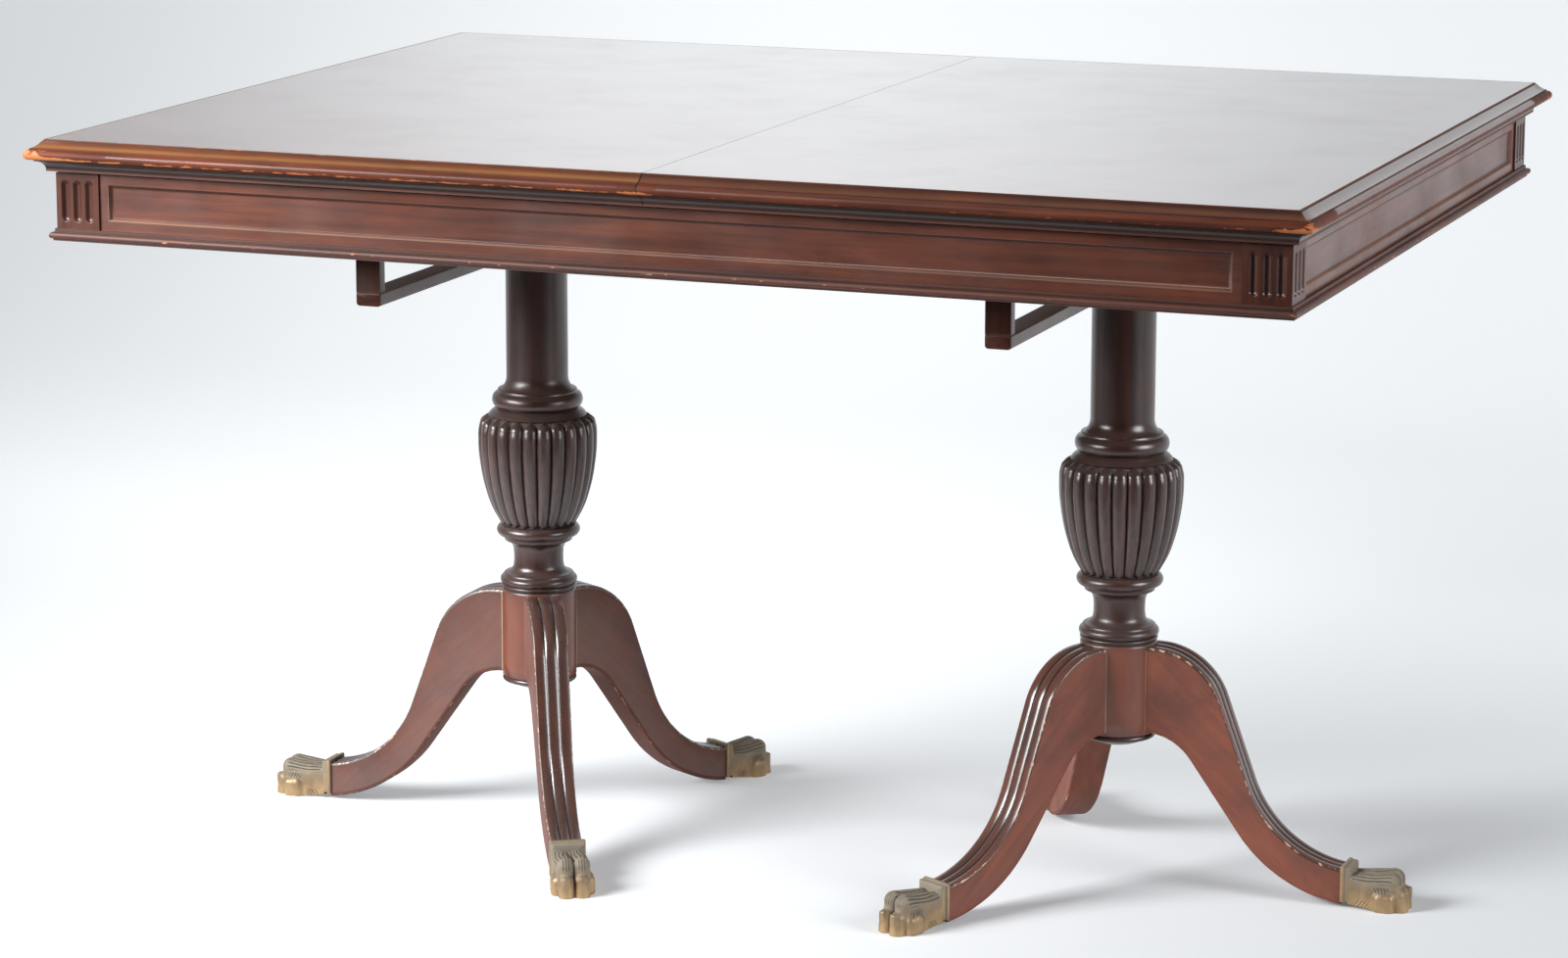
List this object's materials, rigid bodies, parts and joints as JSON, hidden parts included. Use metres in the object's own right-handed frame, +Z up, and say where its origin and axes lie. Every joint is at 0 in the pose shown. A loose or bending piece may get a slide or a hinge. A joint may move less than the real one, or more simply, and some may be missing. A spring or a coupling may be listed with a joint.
{
  "type": "double pedestal dining table",
  "caption": "Rectangular extending dining table with a split sliding top over a moulded apron, on turned reeded pedestals with sabre legs and cast paw feet.",
  "frame": {"origin": "on the floor under the middle of the closed top", "axes": "+X along the table's length, +Y across it towards the rear, +Z up"},
  "size_m": [1.256, 0.986, 0.762],
  "materials": {
    "top_mahogany": "polished",
    "apron_mahogany": "polished",
    "pedestal_mahogany": "polished",
    "rack_wood": "satin",
    "inner_beech": "matte",
    "paw_brass": "aged"
  },
  "bodies": {
    "frame": {"apron_rail_front": "apron_mahogany", "apron_rail_left": "apron_mahogany", "apron_rail_rear": "apron_mahogany", "apron_rail_right": "apron_mahogany", "base_moulding_front": "apron_mahogany", "base_moulding_left": "apron_mahogany", "base_moulding_rear": "apron_mahogany", "base_moulding_right": "apron_mahogany", "bearer_left": "inner_beech", "bearer_right": "inner_beech", "column_left": "pedestal_mahogany", "column_right": "pedestal_mahogany", "corner_block_front_left": "apron_mahogany", "corner_block_front_right": "apron_mahogany", "corner_block_rear_left": "apron_mahogany", "corner_block_rear_right": "apron_mahogany", "hub_button_left": "pedestal_mahogany", "hub_button_right": "pedestal_mahogany", "leg_left_front": "pedestal_mahogany", "leg_left_outer": "pedestal_mahogany", "leg_left_rear": "pedestal_mahogany", "leg_right_front": "pedestal_mahogany", "leg_right_outer": "pedestal_mahogany", "leg_right_rear": "pedestal_mahogany", "paw_foot_left_front": "paw_brass", "paw_foot_left_outer": "paw_brass", "paw_foot_left_rear": "paw_brass", "paw_foot_right_front": "paw_brass", "paw_foot_right_outer": "paw_brass", "paw_foot_right_rear": "paw_brass", "rack_post_left_front": "rack_wood", "rack_post_left_rear": "rack_wood", "rack_post_right_front": "rack_wood", "rack_post_right_rear": "rack_wood", "rack_rail_left_front": "rack_wood", "rack_rail_left_rear": "rack_wood", "rack_rail_right_front": "rack_wood", "rack_rail_right_rear": "rack_wood", "slide_guide_front": "inner_beech", "slide_guide_rear": "inner_beech"},
    "right_half": {"bed_moulding_right_end": "apron_mahogany", "bed_moulding_right_front": "apron_mahogany", "bed_moulding_right_rear": "apron_mahogany", "right_runner_front": "inner_beech", "right_runner_rear": "inner_beech", "seam_pins": "inner_beech", "top_half_right": "top_mahogany"},
    "left_half": {"bed_moulding_left_end": "apron_mahogany", "bed_moulding_left_front": "apron_mahogany", "bed_moulding_left_rear": "apron_mahogany", "left_runner_front": "inner_beech", "left_runner_rear": "inner_beech", "top_half_left": "top_mahogany"}
  },
  "joints": [
    {"name": "right_half_slide", "type": "slide", "parent": "frame", "child": "right_half", "axis": [1, 0, 0], "range_m": [0, 0.1525]},
    {"name": "left_half_slide", "type": "slide", "parent": "frame", "child": "left_half", "axis": [-1, 0, 0], "range_m": [0, 0.1525]}
  ]
}
